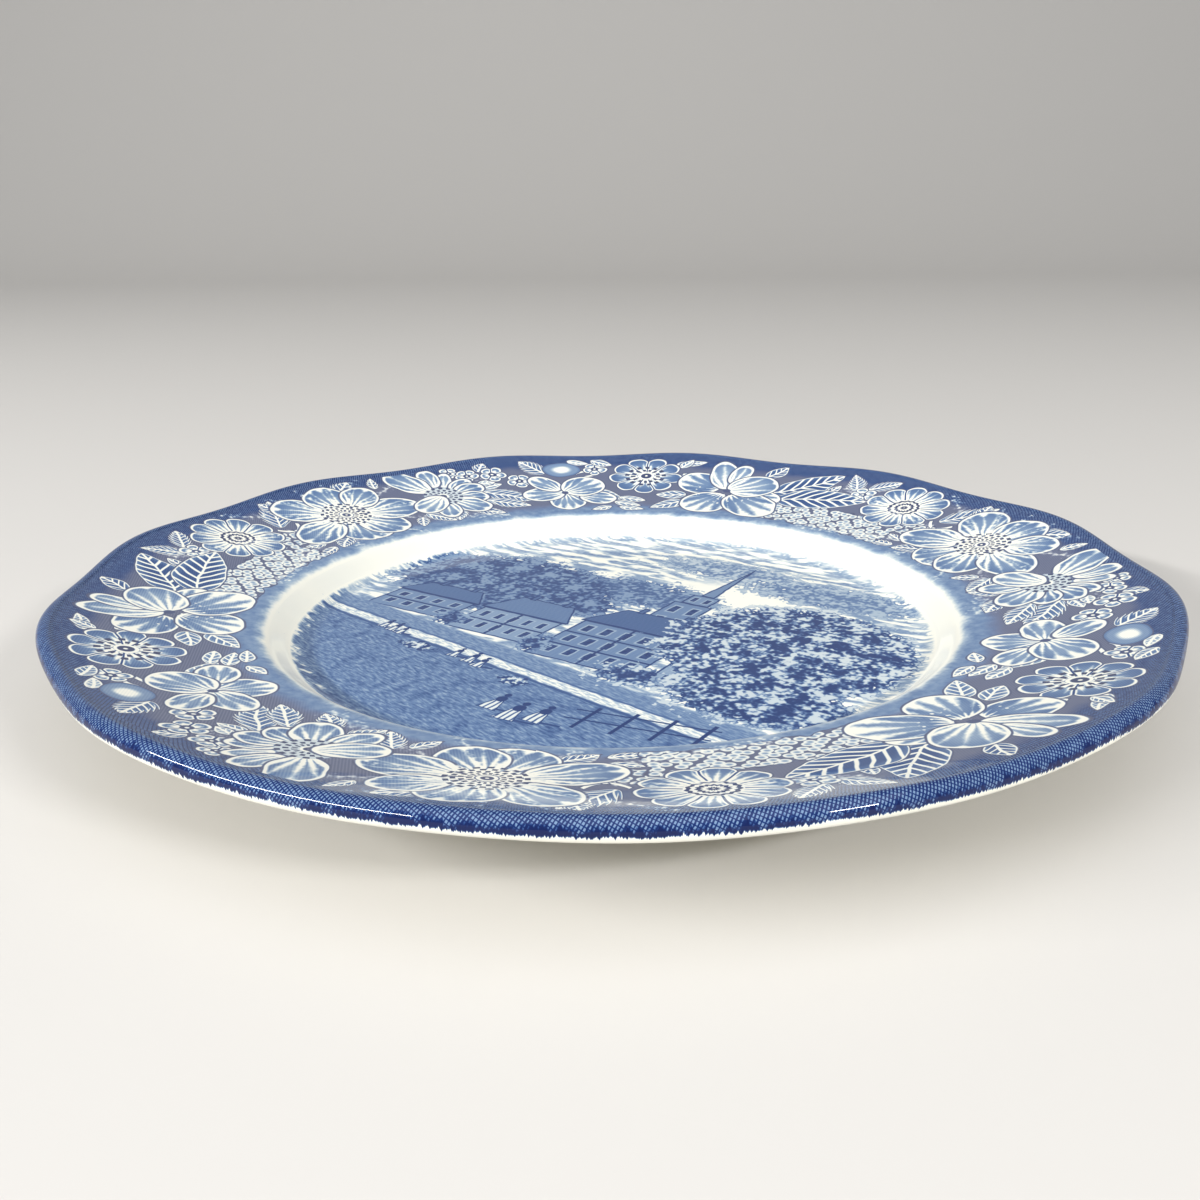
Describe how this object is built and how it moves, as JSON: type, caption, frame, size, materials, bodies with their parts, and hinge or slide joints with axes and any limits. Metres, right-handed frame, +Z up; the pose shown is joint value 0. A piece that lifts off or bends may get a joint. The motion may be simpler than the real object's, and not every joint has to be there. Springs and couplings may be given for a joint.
{
  "type": "dinner plate",
  "caption": "Round dinner plate with softly straight-sided rim, wide printed floral border, shallow well with a printed landscape, and a foot ring.",
  "frame": {"origin": "centre of the foot ring's bearing face", "axes": "+Z up out of the well, -Y towards the diner's side that the picture is taken from"},
  "size_m": [0.2488, 0.2488, 0.0242],
  "materials": {
    "biscuit": "fired cream earthenware, fine matt grain, seen bare only on the foot ring",
    "scene_blue": "underglaze blue landscape print in lines and stipple on cream",
    "border_blue": "underglaze blue floral print, white reserved flowers on a grey-blue hatched ground",
    "edge_cobalt": "cross-hatched cobalt edge band, darkest and ragged at the lip",
    "mark_blue": "small plain leaf wreath in underglaze blue",
    "glaze": "clear, very glossy glaze over the cream body"
  },
  "bodies": {
    "root": {"plate_body": "biscuit", "centre_scene_print": "scene_blue", "border_print_1": "border_blue", "border_print_2": "border_blue", "border_print_3": "border_blue", "edge_band_print": "edge_cobalt", "base_mark_print": "mark_blue", "face_glaze": "glaze", "underside_glaze": "glaze", "base_glaze": "glaze"}
  },
  "joints": []
}
